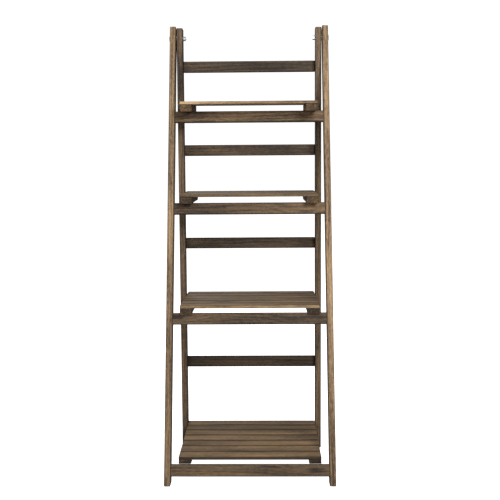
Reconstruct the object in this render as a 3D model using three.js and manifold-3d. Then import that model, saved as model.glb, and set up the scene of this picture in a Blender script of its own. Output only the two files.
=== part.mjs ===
// A folding ladder stand for plants. A front ladder frame leans on an upright back one, and a pair of pivot
// bolts near their tops joins them. Four slatted shelves turn on screws in the back legs and rest on the
// front rails. Millimetres: X runs across the stand, Y from its front to its back, and Z up from the floor.

import * as THREE from "three";
import { mergeVertices } from "three/addons/utils/BufferGeometryUtils.js";
import Module from "manifold-3d";

const wasm = await Module();
wasm.setup();

const degree = Math.PI / 180;

// The two frames

const standWidth = 400; // over the front legs
const legFace = 15; // across the stand
const legDepth = 30;
const frontLean = 14.4 * degree; // from upright
const pivotHeight = 1064; // pivot bolts above the floor
const frontLegPastPivot = 27.6;
const backLegPastPivot = 25;
const railHeight = 28;
const railThickness = 12;
const frontRailsAt = [878, 645, 376, 23]; // lower edges, top rail first, measured up the leaning legs
const backRailsAt = [980, 768, 528, 214]; // lower edges above the floor

// Stub tenons let each rail into its legs.
const tenonLength = 9;
const tenonHeight = 20;
const tenonThickness = 6;

// The shelves, top one first. overhang is how far the front slat stands in front of the rail's top edge, and
// hook is how far the battens hang below that edge.

const slatWidth = 38;
const slatThickness = 7;
const slatSpace = 2; // between slats
const battenWidth = 28;
const battenHeight = 16;
const battenSetback = 1; // behind the front slat's edge
const shelfSideGap = 1; // to each back leg
const shelves = [
  { slats: 4, overhang: 59, hook: 1.2, tilt: 3 * degree },
  { slats: 5, overhang: 26, hook: 1.5, tilt: 1.1 * degree },
  { slats: 6, overhang: 6, hook: 5.5, tilt: 0.1 * degree },
  { slats: 7, overhang: -7, hook: 8.5, tilt: 0.6 * degree },
];
const reliefAngle = 1 * degree; // how much flatter the notch is cut than the rail's sloping top

// Hardware

const boltRadius = 3;
const boltHeadRadius = 7;
const boltHeadHeight = 2;
const boltSocketAcross = 4;
const boltSocketDepth = 1.4;
const boltEnd = 1.6; // past the nut
const spacerThickness = 1.6;
const washerThickness = 1.2;
const washerRadius = 6.5;
const nutAcross = 10; // over the flats
const nutHeight = 5;
const screwRadius = 2;
const screwHeadRadius = 4;
const screwHeadHeight = 2.6;
const screwPoint = 3;
const screwBite = 20; // length inside the batten
const screwRecess = 1.3; // depth of the cross in the head
const screwRecessWidth = 0.9;

// Fits and edges

const fit = 0.3; // between pieces that touch
const ease = 1; // rounding of the legs' and rails' edges
const slatEase = 0.8;
const roundSteps = 2;
const circleSteps = 24;

// What follows from these sizes

const frameGap = spacerThickness + 2 * fit; // between a front leg and the back leg beside it
const frontInner = standWidth / 2 - legFace; // inner faces of the front legs
const backOuter = frontInner - frameGap;
const backInner = backOuter - legFace;
const shelfHalfWidth = backInner - shelfSideGap;
const pivotAlongLeg = (pivotHeight + (legDepth / 2) * Math.sin(frontLean)) / Math.cos(frontLean);
const frontLegLength = pivotAlongLeg + frontLegPastPivot;
const backLegLength = pivotHeight + backLegPastPivot;
const pivotY = pivotAlongLeg * Math.sin(frontLean) + (legDepth / 2) * Math.cos(frontLean);

// Materials

const stain = (color) => new THREE.MeshStandardMaterial({ color, roughness: 0.78, metalness: 0 });
const legWood = stain(0x6b5a4a);
const railWood = stain(0x5f4e3f);
const backWood = stain(0x54473d);
const slatWood = stain(0x655440);
const battenWood = stain(0x5a4837);
const zinc = new THREE.MeshStandardMaterial({ color: 0xb9bbbd, roughness: 0.35, metalness: 1 });

// Solids

function solidOf(geometry) {
  const bare = geometry.clone();
  bare.deleteAttribute("normal");
  bare.deleteAttribute("uv");
  const merged = mergeVertices(bare, 1e-4);
  return new wasm.Manifold(
    new wasm.Mesh({
      numProp: 3,
      vertProperties: merged.attributes.position.array,
      triVerts: new Uint32Array(merged.index.array),
    }),
  );
}

function geometryOf(solid) {
  const { vertProperties, triVerts } = solid.getMesh();
  const geometry = new THREE.BufferGeometry();
  geometry.setAttribute("position", new THREE.BufferAttribute(vertProperties, 3));
  geometry.setIndex(new THREE.BufferAttribute(triVerts, 1));
  geometry.computeVertexNormals();
  return geometry;
}

const cut = (solid, ...tools) => tools.reduce((left, tool) => left.subtract(solidOf(tool)), solid);

// The shape of an outline of [y, z] corners, each rounded over the same length of its two edges.
function roundedShape(corners, rounding) {
  const points = corners.map(([y, z]) => new THREE.Vector2(y, z));
  const shape = new THREE.Shape();
  points.forEach((corner, i) => {
    const before = points.at(i - 1);
    const after = points[(i + 1) % points.length];
    const start = corner.clone().lerp(before, rounding / corner.distanceTo(before));
    const end = corner.clone().lerp(after, rounding / corner.distanceTo(after));
    if (i === 0) shape.moveTo(start.x, start.y);
    else shape.lineTo(start.x, start.y);
    shape.quadraticCurveTo(corner.x, corner.y, end.x, end.y);
  });
  shape.closePath();
  return shape;
}

// A shape's x, y and extruded depth become Y, Z and X.
const acrossX = new THREE.Matrix4().makeBasis(
  new THREE.Vector3(0, 1, 0),
  new THREE.Vector3(0, 0, 1),
  new THREE.Vector3(1, 0, 0),
);

// A piece of wood with this outline in YZ, centred on X and width across it. The edges of its two sides are
// chamfered by edge, and its corners are rounded over twice that.
function board(corners, width, edge) {
  const geometry = new THREE.ExtrudeGeometry(roundedShape(corners, 2 * edge), {
    depth: width - 2 * edge,
    bevelThickness: edge,
    bevelSize: edge,
    bevelOffset: -edge,
    bevelSegments: 1,
    curveSegments: roundSteps,
  });
  geometry.translate(0, 0, edge - width / 2);
  return geometry.applyMatrix4(acrossX);
}

const rectangle = (y0, y1, z0, z1) => [[y0, z0], [y1, z0], [y1, z1], [y0, z1]];

// A round piece about X, from [x, radius] points that start and end on the axis or close on themselves.
function turning(profile) {
  const points = profile.map(([x, radius]) => new THREE.Vector2(radius, x));
  return new THREE.LatheGeometry(points, circleSteps).rotateZ(-Math.PI / 2);
}

// A prism or cylinder about X.
function rod(radius, from, to, steps = circleSteps) {
  const geometry = new THREE.CylinderGeometry(radius, radius, to - from, steps);
  return geometry.rotateZ(-Math.PI / 2).translate((from + to) / 2, 0, 0);
}

// Half-turns a piece that is modelled for the right-hand side, with its outer end at +X, for the left.
const facing = (geometry, sign) => geometry.rotateZ(sign > 0 ? 0 : Math.PI);

const stand = new THREE.Group();

function place(parent, name, geometry, material, x, y, z) {
  const mesh = new THREE.Mesh(geometry, material);
  mesh.name = name;
  mesh.position.set(x, y, z);
  parent.add(mesh);
}

const sides = [
  { side: "left", sign: -1 },
  { side: "right", sign: 1 },
];

// A leg centred on X, with a mortise in its inner face for each rail.
// railFront is how far the rails' front faces lie behind the leg's own.
function mortisedLeg(outline, sign, rails, railFront) {
  const mortises = rails.map((at) =>
    new THREE.BoxGeometry(2 * tenonLength, tenonThickness + 2 * fit, tenonHeight + 2 * fit)
      .translate((-sign * legFace) / 2, railFront + railThickness / 2, at + railHeight / 2),
  );
  return cut(solidOf(board(outline, legFace, ease)), ...mortises);
}

// A rail between two legs whose inner faces stand reach from the middle, with a tenon at each end.
function tenonedRail(reach) {
  const shoulder = reach - fit;
  const body = board(rectangle(0, railThickness, 0, railHeight), 2 * shoulder, ease);
  const tenons = new THREE.BoxGeometry(2 * (shoulder + tenonLength - fit), tenonThickness, tenonHeight);
  tenons.translate(0, railThickness / 2, railHeight / 2);
  return geometryOf(solidOf(body).add(solidOf(tenons)));
}

const boltHole = (z) => rod(boltRadius + fit, -legFace, legFace).translate(0, legDepth / 2, z);

// Front frame, in a group whose Z runs up the leaning legs and whose Y goes through their depth

const frontFrame = new THREE.Group();
frontFrame.rotation.x = -frontLean;
stand.add(frontFrame);

const frontLegOutline = [
  [0, 0],
  [legDepth, legDepth * Math.tan(frontLean)], // the foot is cut flat to the floor
  [legDepth, frontLegLength],
  [0, frontLegLength],
];

for (const { side, sign } of sides) {
  const leg = cut(mortisedLeg(frontLegOutline, sign, frontRailsAt, 0), boltHole(pivotAlongLeg));
  place(frontFrame, `front_leg_${side}`, geometryOf(leg), legWood, sign * (frontInner + legFace / 2), 0, 0);
}

frontRailsAt.forEach((at, i) => {
  place(frontFrame, `front_rail_${i + 1}`, tenonedRail(frontInner), railWood, 0, 0, at);
});

// Where each shelf goes. A shelf has a frame of its own, with its origin on its screws, Y towards the back
// of its top and Z square to it. The battens stand on the rail's top front edge.

const battenBottom = -battenHeight / 2;
const battenTop = battenHeight / 2;
const slatBottom = battenTop + fit;

function seatOf({ slats, overhang, hook, tilt }, railAt) {
  const railTop = railAt + railHeight;
  const edgeZ = battenBottom + hook;
  const edgeY = (railTop * Math.sin(frontLean) - pivotY + edgeZ * Math.sin(tilt)) / Math.cos(tilt);
  const front = edgeY - overhang;
  return {
    slats,
    tilt,
    edgeY,
    edgeZ,
    front,
    back: front + slats * (slatWidth + slatSpace) - slatSpace,
    height: railTop * Math.cos(frontLean) - edgeY * Math.sin(tilt) - edgeZ * Math.cos(tilt),
  };
}

const seats = shelves.map((shelf, i) => seatOf(shelf, frontRailsAt[i]));

// Back frame

const backFrame = new THREE.Group();
backFrame.position.y = pivotY - legDepth / 2;
stand.add(backFrame);

// A countersunk hole from a back leg's outer face.
function screwHole(sign, z) {
  const outer = legFace / 2;
  const mouth = screwHeadRadius + fit;
  const throat = screwRadius + fit;
  const hole = turning([
    [-legFace, 0],
    [-legFace, throat],
    [outer - screwHeadHeight, throat],
    [outer, mouth],
    [legFace, mouth],
    [legFace, 0],
  ]);
  return facing(hole, sign).translate(0, legDepth / 2, z);
}

for (const { side, sign } of sides) {
  const outline = rectangle(0, legDepth, 0, backLegLength);
  const blank = mortisedLeg(outline, sign, backRailsAt, legDepth - railThickness);
  const leg = cut(blank, boltHole(pivotHeight), ...seats.map(({ height }) => screwHole(sign, height)));
  place(backFrame, `back_leg_${side}`, geometryOf(leg), backWood, sign * (backInner + legFace / 2), 0, 0);
}

backRailsAt.forEach((at, i) => {
  place(backFrame, `back_rail_${i + 1}`, tenonedRail(backInner), backWood, 0, legDepth - railThickness, at);
});

// Pivot hardware, along X with its outer end at +X. Each place is measured out from the middle of the stand.

const nutOuter = backInner - 2 * fit - washerThickness;
const nutInner = nutOuter - nutHeight;
const headInner = standWidth / 2 + fit;

function pivotBolt() {
  const corner = boltHeadHeight / 2;
  const body = turning([
    [nutInner - boltEnd, 0],
    [nutInner - boltEnd, boltRadius - fit],
    [nutInner - boltEnd + fit, boltRadius],
    [headInner, boltRadius],
    [headInner, boltHeadRadius],
    [headInner + boltHeadHeight - corner, boltHeadRadius],
    [headInner + boltHeadHeight, boltHeadRadius - corner],
    [headInner + boltHeadHeight, 0],
  ]);
  const cornerRadius = boltSocketAcross / Math.sqrt(3);
  const socketFloor = headInner + boltHeadHeight - boltSocketDepth;
  return cut(solidOf(body), rod(cornerRadius, socketFloor, headInner + 2 * boltHeadHeight, 6));
}

// A hexagonal nut whose corners are turned down on both faces.
function hexNut() {
  const cornerRadius = nutAcross / Math.sqrt(3);
  const turnedDown = cornerRadius - nutAcross / 2;
  const turnedNut = turning([
    [nutInner, 0],
    [nutInner, cornerRadius - turnedDown],
    [nutInner + turnedDown, cornerRadius],
    [nutOuter - turnedDown, cornerRadius],
    [nutOuter, cornerRadius - turnedDown],
    [nutOuter, 0],
  ]);
  const hexagon = solidOf(rod(cornerRadius, nutInner, nutOuter, 6));
  return cut(hexagon.intersect(solidOf(turnedNut)), rod(boltRadius + fit, nutInner - 1, nutOuter + 1));
}

function washer(inner, thickness) {
  const bore = boltRadius + fit;
  const ring = [
    [inner, bore],
    [inner, washerRadius],
    [inner + thickness, washerRadius],
    [inner + thickness, bore],
    [inner, bore],
  ];
  return turning(ring);
}

for (const { side, sign } of sides) {
  const parts = {
    pivot_bolt: geometryOf(pivotBolt()),
    pivot_nut: geometryOf(hexNut()),
    pivot_washer: washer(backInner - fit - washerThickness, washerThickness),
    pivot_spacer: washer(backOuter + fit, spacerThickness),
  };
  for (const [name, geometry] of Object.entries(parts)) {
    place(stand, `${name}_${side}`, facing(geometry, sign), zinc, 0, pivotY, pivotHeight);
  }
}

// Shelves

// The notch that lets a batten down over the rail's front edge. It runs out behind, flatter than the rail's
// top, so that the rail can swing back from under the batten.
function railNotch({ tilt, edgeY, edgeZ }) {
  const lean = frontLean + tilt;
  const cornerY = edgeY + fit * (Math.sin(lean) - Math.cos(lean));
  const cornerZ = edgeZ + fit * (Math.sin(lean) + Math.cos(lean));
  const drop = cornerZ - battenBottom + fit;
  const notch = new THREE.Shape([
    new THREE.Vector2(cornerY, cornerZ),
    new THREE.Vector2(cornerY - drop * Math.tan(lean), cornerZ - drop),
    new THREE.Vector2(cornerY + drop / Math.tan(lean - reliefAngle), cornerZ - drop),
  ]);
  const width = 2 * battenWidth;
  return new THREE.ExtrudeGeometry(notch, { depth: width, bevelEnabled: false })
    .translate(0, 0, -width / 2)
    .applyMatrix4(acrossX);
}

function batten(seat, sign) {
  const middle = sign * (shelfHalfWidth - battenWidth / 2);
  const outline = rectangle(seat.front + battenSetback, seat.back, battenBottom, battenTop);
  const blank = board(outline, battenWidth, slatEase).translate(middle, 0, 0);
  return geometryOf(cut(solidOf(blank), railNotch(seat).translate(middle, 0, 0), screwBore(sign)));
}

// A countersunk screw from the back leg's outer face into a batten, with a cross in its head.
function shelfScrew() {
  const face = backOuter;
  const point = shelfHalfWidth - screwBite;
  const body = turning([
    [point, 0],
    [point + screwPoint, screwRadius],
    [face - screwHeadHeight, screwRadius],
    [face, screwHeadRadius],
    [face, 0],
  ]);
  const armLength = screwHeadRadius;
  const arm = () => new THREE.BoxGeometry(2 * screwRecess, armLength, screwRecessWidth).translate(face, 0, 0);
  return cut(solidOf(body), arm(), arm().rotateX(Math.PI / 2));
}

const screwBore = (sign) => facing(rod(screwRadius + fit, shelfHalfWidth - screwBite - fit, standWidth), sign);

seats.forEach((seat, i) => {
  const shelf = new THREE.Group();
  shelf.position.set(0, pivotY, seat.height);
  shelf.rotation.x = seat.tilt;
  stand.add(shelf);

  for (const { side, sign } of sides) {
    place(shelf, `shelf_${i + 1}_batten_${side}`, batten(seat, sign), battenWood, 0, 0, 0);
    const screw = facing(geometryOf(shelfScrew()), sign);
    place(shelf, `shelf_${i + 1}_screw_${side}`, screw, zinc, 0, 0, 0);
  }

  for (let k = 0; k < seat.slats; k += 1) {
    const outline = rectangle(0, slatWidth, 0, slatThickness);
    const slat = board(outline, 2 * shelfHalfWidth, slatEase);
    const y = seat.front + k * (slatWidth + slatSpace);
    place(shelf, `shelf_${i + 1}_slat_${k + 1}`, slat, slatWood, 0, y, slatBottom);
  }
});

// The origin goes on the floor under the middle of the whole stand, shelves and all.
stand.updateMatrixWorld(true);
const reach = new THREE.Box3().setFromObject(stand, true);
stand.position.y = -(reach.min.y + reach.max.y) / 2;

export default stand;
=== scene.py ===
# %% [markdown]
# # A folding ladder stand for plants
#
# The stand's pieces are already solid, at their real size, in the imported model. Blender's share is what
# the eye reads as wood and metal: a brushed-on brown stain, grain that runs the length of every board,
# paler worn edges and bright zinc bolts. This lesson loads the pieces, sets the camera and the lights,
# builds one wood recipe and then dresses each board with it.

# %% Load the stand
import math
import random

import bpy
from mathutils import Euler, Matrix, Vector

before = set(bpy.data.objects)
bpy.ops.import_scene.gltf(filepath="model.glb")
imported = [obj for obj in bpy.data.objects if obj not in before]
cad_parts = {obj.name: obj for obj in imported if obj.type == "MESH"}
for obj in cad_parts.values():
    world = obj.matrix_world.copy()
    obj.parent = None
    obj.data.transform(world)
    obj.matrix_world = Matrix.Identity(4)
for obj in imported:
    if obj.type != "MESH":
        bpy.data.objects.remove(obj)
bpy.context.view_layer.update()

# %% [markdown]
# ## Camera
#
# The picture was taken from a little above the stand's middle, about two metres away and slightly to
# the right. A camera can be placed by eye, but the edges of the legs and rails give its place much more
# exactly, so the numbers below come from fitting those edges. Turns are applied in the order yaw,
# pitch, roll.

# %% Place the camera
FRAME_PIXELS = 500
FOCAL_PIXELS = 826.5
CAMERA_PLACE = Vector((0.0355, -2.0226, 0.7242))
YAW, PITCH, ROLL = math.radians(0.978), math.radians(5.348), math.radians(-0.397)


def turned(angle, axis):
    return Matrix.Rotation(angle, 4, axis)


lens = bpy.data.cameras.new("camera")
lens.sensor_fit = "HORIZONTAL"
lens.sensor_width = 36.0
lens.lens = 36.0 * FOCAL_PIXELS / FRAME_PIXELS
camera = bpy.data.objects.new("camera", lens)
look = turned(YAW, "Z") @ turned(math.pi / 2 - PITCH, "X") @ turned(ROLL, "Z")
camera.matrix_world = Matrix.Translation(CAMERA_PLACE) @ look
bpy.context.scene.collection.objects.link(camera)
bpy.context.scene.camera = camera
bpy.context.scene.view_settings.view_transform = "Standard"
print("lens", round(lens.lens, 1), "mm")

# %% [markdown]
# ## Writing node sums as Python
#
# A wood material needs dozens of small sums, and wiring them by hand hides what they say. One class
# stands for a socket, so that `1 - mask` or `streaks * 0.4 + rings` adds the Math nodes itself. Sums on
# vectors go through Vector Math, colours through Mix, and every other node comes from the one method
# `node`.


# %% A socket that does sums
class Socket:
    """An output of a material's node, for sums written in Python."""

    def __init__(self, tree, output=None):
        self.tree = tree
        self.output = output

    def node(self, kind, settings=None, inputs=None, output=0):
        """Adds a node, sets it up, fills or links its inputs, and returns one of its outputs."""
        made = self.tree.nodes.new(kind)
        for name, value in (settings or {}).items():
            if name == "stops":
                ramp = made.color_ramp
                ramp.elements[0].position, ramp.elements[1].position = value[0][0], value[-1][0]
                for place, _ in value[1:-1]:
                    ramp.elements.new(place)
                for stop, (_, colour) in zip(ramp.elements, value):
                    stop.color = colour
            else:
                setattr(made, name, value)
        for name, value in (inputs or {}).items():
            if isinstance(value, Socket):
                self.tree.links.new(value.output, made.inputs[name])
            else:
                made.inputs[name].default_value = value
        return Socket(self.tree, made.outputs[output] if made.outputs else None)

    def sum(self, operation, first, second):
        several = [v for v in (first, second) if isinstance(v, Socket) and v.output.type == "VECTOR"]
        kind = "ShaderNodeVectorMath" if several else "ShaderNodeMath"
        return self.node(kind, {"operation": operation}, {0: first, 1: second})

    def __add__(self, other):
        return self.sum("ADD", self, other)

    def __radd__(self, other):
        return self.sum("ADD", other, self)

    def __sub__(self, other):
        return self.sum("SUBTRACT", self, other)

    def __rsub__(self, other):
        return self.sum("SUBTRACT", other, self)

    def __mul__(self, other):
        return self.sum("MULTIPLY", self, other)

    def __rmul__(self, other):
        return self.sum("MULTIPLY", other, self)

    def __pow__(self, other):
        return self.sum("POWER", self, other)

    def math(self, operation):
        return self.node("ShaderNodeMath", {"operation": operation}, {0: self})

    def least(self, other):
        return self.sum("MINIMUM", self, other)

    def ramp(self, low, high):
        """0 below low, 1 above high, and smooth between."""
        limits = {"Value": self, "From Min": low, "From Max": high}
        return self.node("ShaderNodeMapRange", {"interpolation_type": "SMOOTHSTEP"}, limits)

    def mix(self, first, second):
        """The first colour where this is 0 and the second where it is 1."""
        return self.node("ShaderNodeMix", {"data_type": "RGBA"}, {0: self, 6: first, 7: second}, output=2)

    def part(self, name):
        """One of the X, Y and Z of a vector."""
        return self.node("ShaderNodeSeparateXYZ", None, {0: self}, output=name)


def new_material(name):
    material = bpy.data.materials.new(name)
    material.use_nodes = True
    tree = material.node_tree
    tree.nodes.clear()
    return material, Socket(tree)


def finish_material(start, **shader_inputs):
    """Ends a material with its shader, whose sockets are named with _ for a space."""
    inputs = {name.replace("_", " "): value for name, value in shader_inputs.items()}
    shader = start.node("ShaderNodeBsdfPrincipled", None, inputs)
    start.node("ShaderNodeOutputMaterial", None, {"Surface": shader})


def rgb(red, green, blue):
    """A colour picked on screen, 0 to 255, as the linear colour that a shader wants."""

    def linear(value):
        value /= 255
        return value / 12.92 if value <= 0.04045 else ((value + 0.055) / 1.055) ** 2.4

    return (linear(red), linear(green), linear(blue), 1.0)


print("a mid brown is", [round(v, 3) for v in rgb(110, 91, 69)])

# %% [markdown]
# ## Floor and light
#
# The stand was shot on pure white, with no shadow left round its feet. A white room would light the
# undersides of the shelves too, and they are dark in the picture. So floor and room are bright where the
# camera looks at them and dim as lamps, and four large soft lamps do the work: a key lamp in front on
# the right, a weaker one on the left, one overhead, and a last one behind the stand, so that its back
# isn't lost in the dark.

# %% Make the floor
FLOOR_SIDE, FLOOR_BEHIND = 9, 14  # metres from the stand
BRIGHT_ROOM = 1.1  # where the camera looks at floor or room

corners = [
    (-FLOOR_SIDE, -FLOOR_SIDE, 0),
    (FLOOR_SIDE, -FLOOR_SIDE, 0),
    (FLOOR_SIDE, FLOOR_BEHIND, 0),
    (-FLOOR_SIDE, FLOOR_BEHIND, 0),
]
floor_mesh = bpy.data.meshes.new("floor")
floor_mesh.from_pydata(corners, [], [(0, 1, 2, 3)])
floor = bpy.data.objects.new("floor", floor_mesh)
bpy.context.scene.collection.objects.link(floor)

floor_paint, start = new_material("studio floor")
seen = start.node("ShaderNodeLightPath", output="Is Camera Ray")
finish_material(
    start,
    Base_Color=(0.8, 0.8, 0.79, 1),
    Roughness=0.9,
    Emission_Color=seen.mix((0, 0, 0, 1), (1, 1, 1, 1)),
    Emission_Strength=BRIGHT_ROOM,
)
floor_mesh.materials.append(floor_paint)

# %% Light the room
DIM_ROOM = 0.24  # as a lamp

room = bpy.data.worlds.new("white room")
room.use_nodes = True
room.node_tree.nodes.clear()
start = Socket(room.node_tree)
seen = start.node("ShaderNodeLightPath", output="Is Camera Ray")
strength = DIM_ROOM + (BRIGHT_ROOM - DIM_ROOM) * seen
glow = start.node("ShaderNodeBackground", None, {"Color": (1, 1, 1, 1), "Strength": strength})
start.node("ShaderNodeOutputWorld", None, {"Surface": glow})
bpy.context.scene.world = room


def soft_lamp(name, place, target, size, power):
    lamp = bpy.data.lights.new(name, "AREA")
    lamp.size = size
    lamp.energy = power
    thing = bpy.data.objects.new(name, lamp)
    aim = (Vector(target) - Vector(place)).to_track_quat("-Z", "Y")
    thing.matrix_world = Matrix.Translation(place) @ aim.to_matrix().to_4x4()
    bpy.context.scene.collection.objects.link(thing)


soft_lamp("key lamp", (1.0, -2.4, 1.75), (0, 0, 0.85), 1.0, 88)
soft_lamp("fill lamp", (-1.7, -2.2, 1.5), (0, 0, 0.8), 1.2, 30)
soft_lamp("back lamp", (-0.9, 2.8, 1.9), (0, 0, 0.55), 1.4, 18)
soft_lamp("top lamp", (0.1, -0.5, 2.7), (0, 0, 0.4), 1.2, 20)

# %% [markdown]
# ## Numbers that each board carries
#
# All the slats are sawn from one kind of wood and stained from one tin, yet no two look alike. A
# material for each board would be slow and hard to tune. Instead each board carries a few numbers of
# its own, and one shared material reads them with Attribute nodes: `board` shifts the grain, the tone
# makes the stain lighter or darker and on the lower rails and darker battens paints shade, and `worn`
# and `worn_towards` say how far, and at which end, the front edge is rubbed down to pale wood.
#
# A board also has to know where it starts and where its long edges are, because a leg is painted
# darker towards its foot as shade, and painted shade runs as a dark line along a board's long edges. Its
# grain may run along X, Y or Z, and the front frame leans, so each kind of board has a turn that lays
# its length along X. Measured that way, its reach is three more numbers.

# %% Lay each kind of board along X
FRONT_LEAN = math.radians(14.4)
LENGTHWISE = {"X": (0, 0, 0), "Y": (0, 0, -math.pi / 2), "Z": (0, math.pi / 2, 0)}
# The axis it runs along, its lean, and which part of the turned place crosses its face.
LAYS = {
    "front_leg": ("Z", FRONT_LEAN, "Z"),
    "front_rail": ("X", FRONT_LEAN, "Z"),
    "back_leg": ("Z", 0.0, "Z"),
    "back_rail": ("X", 0.0, "Z"),
    "slat": ("X", 0.0, "Y"),
    "batten": ("Y", 0.0, "Y"),
}


def kind_of(name):
    return next((kind for kind in LAYS if kind in name), None)


def reach_of(piece, kind):
    """Where a board starts along X, and where its long edges are, once it is turned."""
    axis, lean, across = LAYS[kind]
    turn = Euler(LENGTHWISE[axis]).to_matrix() @ Matrix.Rotation(lean, 3, "X")
    corners = [turn @ vertex.co for vertex in piece.data.vertices]
    crosswise = [corner["XYZ".index(across)] for corner in corners]
    return min(corner.x for corner in corners), min(crosswise), max(crosswise)


# %% Give every board its numbers
# The rail tones that darken downwards and the low tones of the darker battens are painted shade, for the
# dimmer light near the floor and under the slats; the other tones are the stain's own variation.
TONES_AND_SHADE = {
    "front_rail_1": 1.24,
    "front_rail_2": 0.86,
    "front_rail_3": 0.74,
    "front_rail_4": 0.72,
    "back_rail_1": 0.9,
    "back_rail_2": 1.04,
    "back_rail_3": 0.82,
    "back_rail_4": 0.74,
    "back_leg_right": 1.12,
    "shelf_1_batten_left": 1.15,
    "shelf_1_batten_right": 1.2,
    "shelf_2_batten_left": 0.62,
    "shelf_2_batten_right": 1.15,
    "shelf_3_batten_left": 0.6,
    "shelf_3_batten_right": 0.55,
    "shelf_4_batten_left": 0.95,
    "shelf_4_batten_right": 0.5,
}
# How worn, and how much more towards the right.
WORN_EDGES = {"shelf_1_slat_1": (0.5, -0.6), "shelf_2_slat_1": (0.13, 0.9), "shelf_3_slat_1": (0.4, 0.5)}
HARDLY_WORN = (0.05, 0.0)

chance = random.Random(11)
for count, name in enumerate(sorted(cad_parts)):
    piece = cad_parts[name]
    worn, towards = WORN_EDGES.get(name, HARDLY_WORN)
    piece["board"] = float(count)
    piece["tone"] = TONES_AND_SHADE.get(name, chance.uniform(0.86, 1.12))
    piece["worn"] = worn
    piece["worn_towards"] = towards
    if kind_of(name):
        piece["starts"], piece["near_edge"], piece["far_edge"] = reach_of(piece, kind_of(name))
print("boards numbered:", count + 1)

# %% [markdown]
# ## The wood
#
# Stained softwood shows four things, from large to small. The stain takes unevenly, in soft patches.
# Growth rings are cut lengthwise, so they run along the board as lines that drift and now and then bend
# round a knot. Between them lie streaks, and over everything fine fibres. Each is made from noise that
# is stretched along the board, because grain is many times longer than it is wide. The end of a board
# shows the rings from their ends, and the stain soaks in there, so it is darker.


# %% Coordinates that run along a board
def along_the_board(start, axis, lean):
    """The place on a board, turned so that X runs along it, and how squarely the surface faces that way."""
    place = start.node("ShaderNodeTexCoord", output="Object")
    facing = start.node("ShaderNodeTexCoord", output="Normal")
    upright = {"rotation_type": "X_AXIS"}
    if lean:
        place = start.node("ShaderNodeVectorRotate", upright, {"Vector": place, "Angle": lean})
        facing = start.node("ShaderNodeVectorRotate", upright, {"Vector": facing, "Angle": lean})
    lay = {"rotation_type": "EULER_XYZ"}
    place = start.node("ShaderNodeVectorRotate", lay, {"Vector": place, "Rotation": LENGTHWISE[axis]})
    facing = start.node("ShaderNodeVectorRotate", lay, {"Vector": facing, "Rotation": LENGTHWISE[axis]})
    return place, facing


def board_number(start, name):
    stored = {"attribute_type": "OBJECT", "attribute_name": name}
    return start.node("ShaderNodeAttribute", stored, output="Fac")


def stretched_noise(place, along, across, detail=2.0, rough=0.5):
    """Noise with this many features a metre along the board and across it."""
    inputs = {"Vector": place * (along, across, across), "Scale": 1.0}
    inputs.update({"Detail": detail, "Roughness": rough})
    return place.node("ShaderNodeTexNoise", None, inputs)


# %% Painted shade along the edges
ARRIS = 0.0004  # metres, dark all the way
EDGE_WOBBLE = 0.003


def painted_edge_shade(start, place, across, width, wobble):
    """A dark line of painted shade along both long edges of a board's face, broken a little by noise."""
    over = place.part(across)
    inside = (over - board_number(start, "near_edge")).least(board_number(start, "far_edge") - over)
    return 1 - (inside + (wobble - 0.5) * EDGE_WOBBLE).ramp(ARRIS, width)


def painted_foot_shade(start, place, length):
    """Painted shade: fades from 1 at the foot of a leg to 0 at this height up it."""
    return 1 - (place.part("X") - board_number(start, "starts")).ramp(0.0, length)


# %% The wood recipe
PITCH_BROWN = rgb(34, 26, 18)
BARE_WOOD = rgb(178, 149, 112)
RING_TURN = 1050  # radians a metre: a ring each 6 mm
RING_DRIFT = 34
KNOT_BEND = 11
FOOT_SHADE_HEIGHT = 0.34  # metres up a leg
# The painted edge shade of boards and of slats.
EDGE_SHADE = (0.0028, 0.6)  # width in metres, and strength
SLAT_EDGE_SHADE = (0.0042, 0.95)


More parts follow.
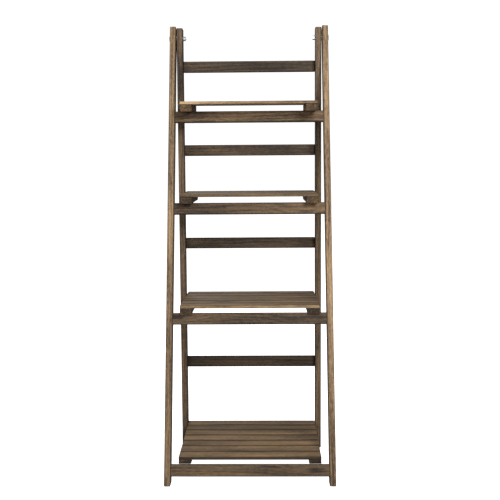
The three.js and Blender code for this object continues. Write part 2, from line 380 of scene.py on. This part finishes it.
def stained_wood(name, kind, dark, light, gold, knots=0.0, foot=0.0, edge_wear_and_gap_shade=False):
    """A stain from dark to light, with golden patches where little of it took."""
    axis, lean, across = LAYS[kind]
    material, start = new_material(name)
    unmoved, facing = along_the_board(start, axis, lean)
    board = board_number(start, "board")
    apart = {"X": board * 1.37, "Y": board * 0.61, "Z": board * 0.23}
    shift = start.node("ShaderNodeCombineXYZ", None, apart)
    place = unmoved + shift

    patches = stretched_noise(place, 4.5, 20, detail=3)
    drift = stretched_noise(place, 2.2, 9, detail=2)
    streaks = stretched_noise(place, 7, 230, detail=4, rough=0.62)
    fibres = stretched_noise(place, 40, 1500, detail=2, rough=0.7)
    flecks = stretched_noise(place, 95, 430, detail=2, rough=0.6)

    # A knot is a dark oval, and the rings bend round it.
    knot_inputs = {"Vector": place * (4.2, 15, 15), "Scale": 1.0, "Randomness": 1.0}
    knot_distance = start.node("ShaderNodeTexVoronoi", None, knot_inputs, output="Distance")
    knot = (1 - knot_distance.ramp(0.04, 0.16)) * knots
    bend = (1 - knot_distance.ramp(0.05, 0.5)) * (KNOT_BEND * knots)

    # Rings lie a few millimetres apart and drift with the noise.
    over = place.part("Y") + 0.7 * place.part("Z")
    rings = ((over * RING_TURN + drift * RING_DRIFT + bend).math("SINE") * 0.5 + 0.5) ** 2.2

    end_grain = facing.part("X").math("ABSOLUTE").ramp(0.75, 0.95)
    grain = patches * 0.62 + streaks * 0.62 + flecks * 0.5 + fibres * 0.35 - rings * 0.1 - 0.5
    grain = grain - knot * 0.4 - end_grain * 0.2
    # Painted shade: the leg darkens towards its foot, where less lamp light falls.
    if foot:
        grain = grain - painted_foot_shade(start, unmoved, FOOT_SHADE_HEIGHT) * foot
    stops = [(0.0, PITCH_BROWN), (0.2, dark), (0.74, light), (1.0, gold)]
    stain = start.node("ShaderNodeValToRGB", {"stops": stops}, {"Fac": grain.ramp(0.1, 0.9)})

    width, strength = SLAT_EDGE_SHADE if edge_wear_and_gap_shade else EDGE_SHADE
    # Painted shade: dark lines along the long edges, and on slats also the shade in the gaps between them.
    edges = painted_edge_shade(start, unmoved, across, width, streaks) * strength
    if edge_wear_and_gap_shade:
        # The front slat's front is open to view. The others face the gap between slats and get painted
        # shade there.
        worn = board_number(start, "worn")
        towards = board_number(start, "worn_towards")
        front = (0 - facing.part("Y")).ramp(0.4, 0.8)
        open_front = worn.ramp(0.06, 0.12)
        gap_shade = facing.part("Y").math("ABSOLUTE").ramp(0.35, 0.8) * (1 - open_front)
        rubbed = stretched_noise(place, 16, 160, detail=3, rough=0.6)
        share = worn * (1 + towards * unmoved.part("X") * 5.5)
        bare = (share + rubbed * 0.9 - 0.45).ramp(0.3, 0.95) * front
        edges = edges * (1 - front * open_front) * (1 - gap_shade) + gap_shade * 0.9
        # Front slats that are hardly worn get a darker front as well.
        edges = edges + front * (0.45 - worn).ramp(0.0, 0.32) * 0.5 * (1 - gap_shade)
        stain = bare.mix(stain, BARE_WOOD)
    stain = edges.mix(stain, PITCH_BROWN)
    tone = board_number(start, "tone")
    colour = stain * start.node("ShaderNodeCombineXYZ", None, {"X": tone, "Y": tone, "Z": tone})

    relief = streaks * 0.5 + fibres * 0.35 - rings * 0.3 - knot * 0.3
    bump = start.node("ShaderNodeBump", None, {"Strength": 0.35, "Distance": 0.0006, "Height": relief})
    finish_material(
        start, Base_Color=colour, Roughness=0.76 - streaks * 0.2, Specular_IOR_Level=0.22, Normal=bump
    )
    return material


# %% Mix the stains
STAINS = {
    "front_leg": stained_wood(
        "front leg stain",
        "front_leg",
        dark=rgb(66, 51, 35),
        light=rgb(136, 111, 82),
        gold=rgb(170, 136, 94),
        knots=0.4,
        foot=0.16,
    ),
    "front_rail": stained_wood(
        "front rail stain",
        "front_rail",
        dark=rgb(44, 33, 22),
        light=rgb(94, 75, 53),
        gold=rgb(122, 96, 63),
        knots=1.0,
    ),
    "back_leg": stained_wood(
        "back leg stain",
        "back_leg",
        dark=rgb(40, 31, 22),
        light=rgb(92, 74, 54),
        gold=rgb(118, 94, 65),
        knots=0.3,
    ),
    "back_rail": stained_wood(
        "back rail stain",
        "back_rail",
        dark=rgb(33, 26, 18),
        light=rgb(76, 60, 43),
        gold=rgb(106, 83, 55),
        knots=0.7,
    ),
    "slat": stained_wood(
        "slat stain",
        "slat",
        dark=rgb(60, 47, 32),
        light=rgb(119, 96, 68),
        gold=rgb(148, 117, 77),
        knots=0.6,
        edge_wear_and_gap_shade=True,
    ),
    "batten": stained_wood(
        "batten stain",
        "batten",
        dark=rgb(54, 40, 26),
        light=rgb(122, 94, 60),
        gold=rgb(142, 108, 68),
        knots=0.2,
    ),
}
print("stains:", len(STAINS))

# %% [markdown]
# ## Zinc
#
# The bolts, nuts, washers and screws are zinc plated: a bright, slightly cloudy metal with fine tool
# marks. A plain metal looks like chrome, so noise clouds its roughness and a little its colour.


# %% Plate the hardware
def zinc_plate():
    material, start = new_material("zinc plate")
    place = start.node("ShaderNodeTexCoord", output="Object")
    clouds = start.node("ShaderNodeTexNoise", None, {"Vector": place, "Scale": 420.0, "Detail": 3.0})
    marks = start.node("ShaderNodeTexNoise", None, {"Vector": place * (900, 5200, 5200), "Scale": 1.0})
    colour = clouds.mix(rgb(168, 170, 174), rgb(214, 213, 208))
    bump = start.node("ShaderNodeBump", None, {"Strength": 0.2, "Distance": 0.0002, "Height": marks})
    finish_material(start, Base_Color=colour, Metallic=1.0, Roughness=0.24 + clouds * 0.28, Normal=bump)
    return material


zinc = zinc_plate()

# %% [markdown]
# ## Dressing the pieces
#
# Every piece keeps its shape and gets its finish by its name.

# %% Dress every piece
for name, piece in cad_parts.items():
    piece.data.materials.clear()
    piece.data.materials.append(STAINS.get(kind_of(name), zinc))
print("dressed", len(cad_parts), "pieces")
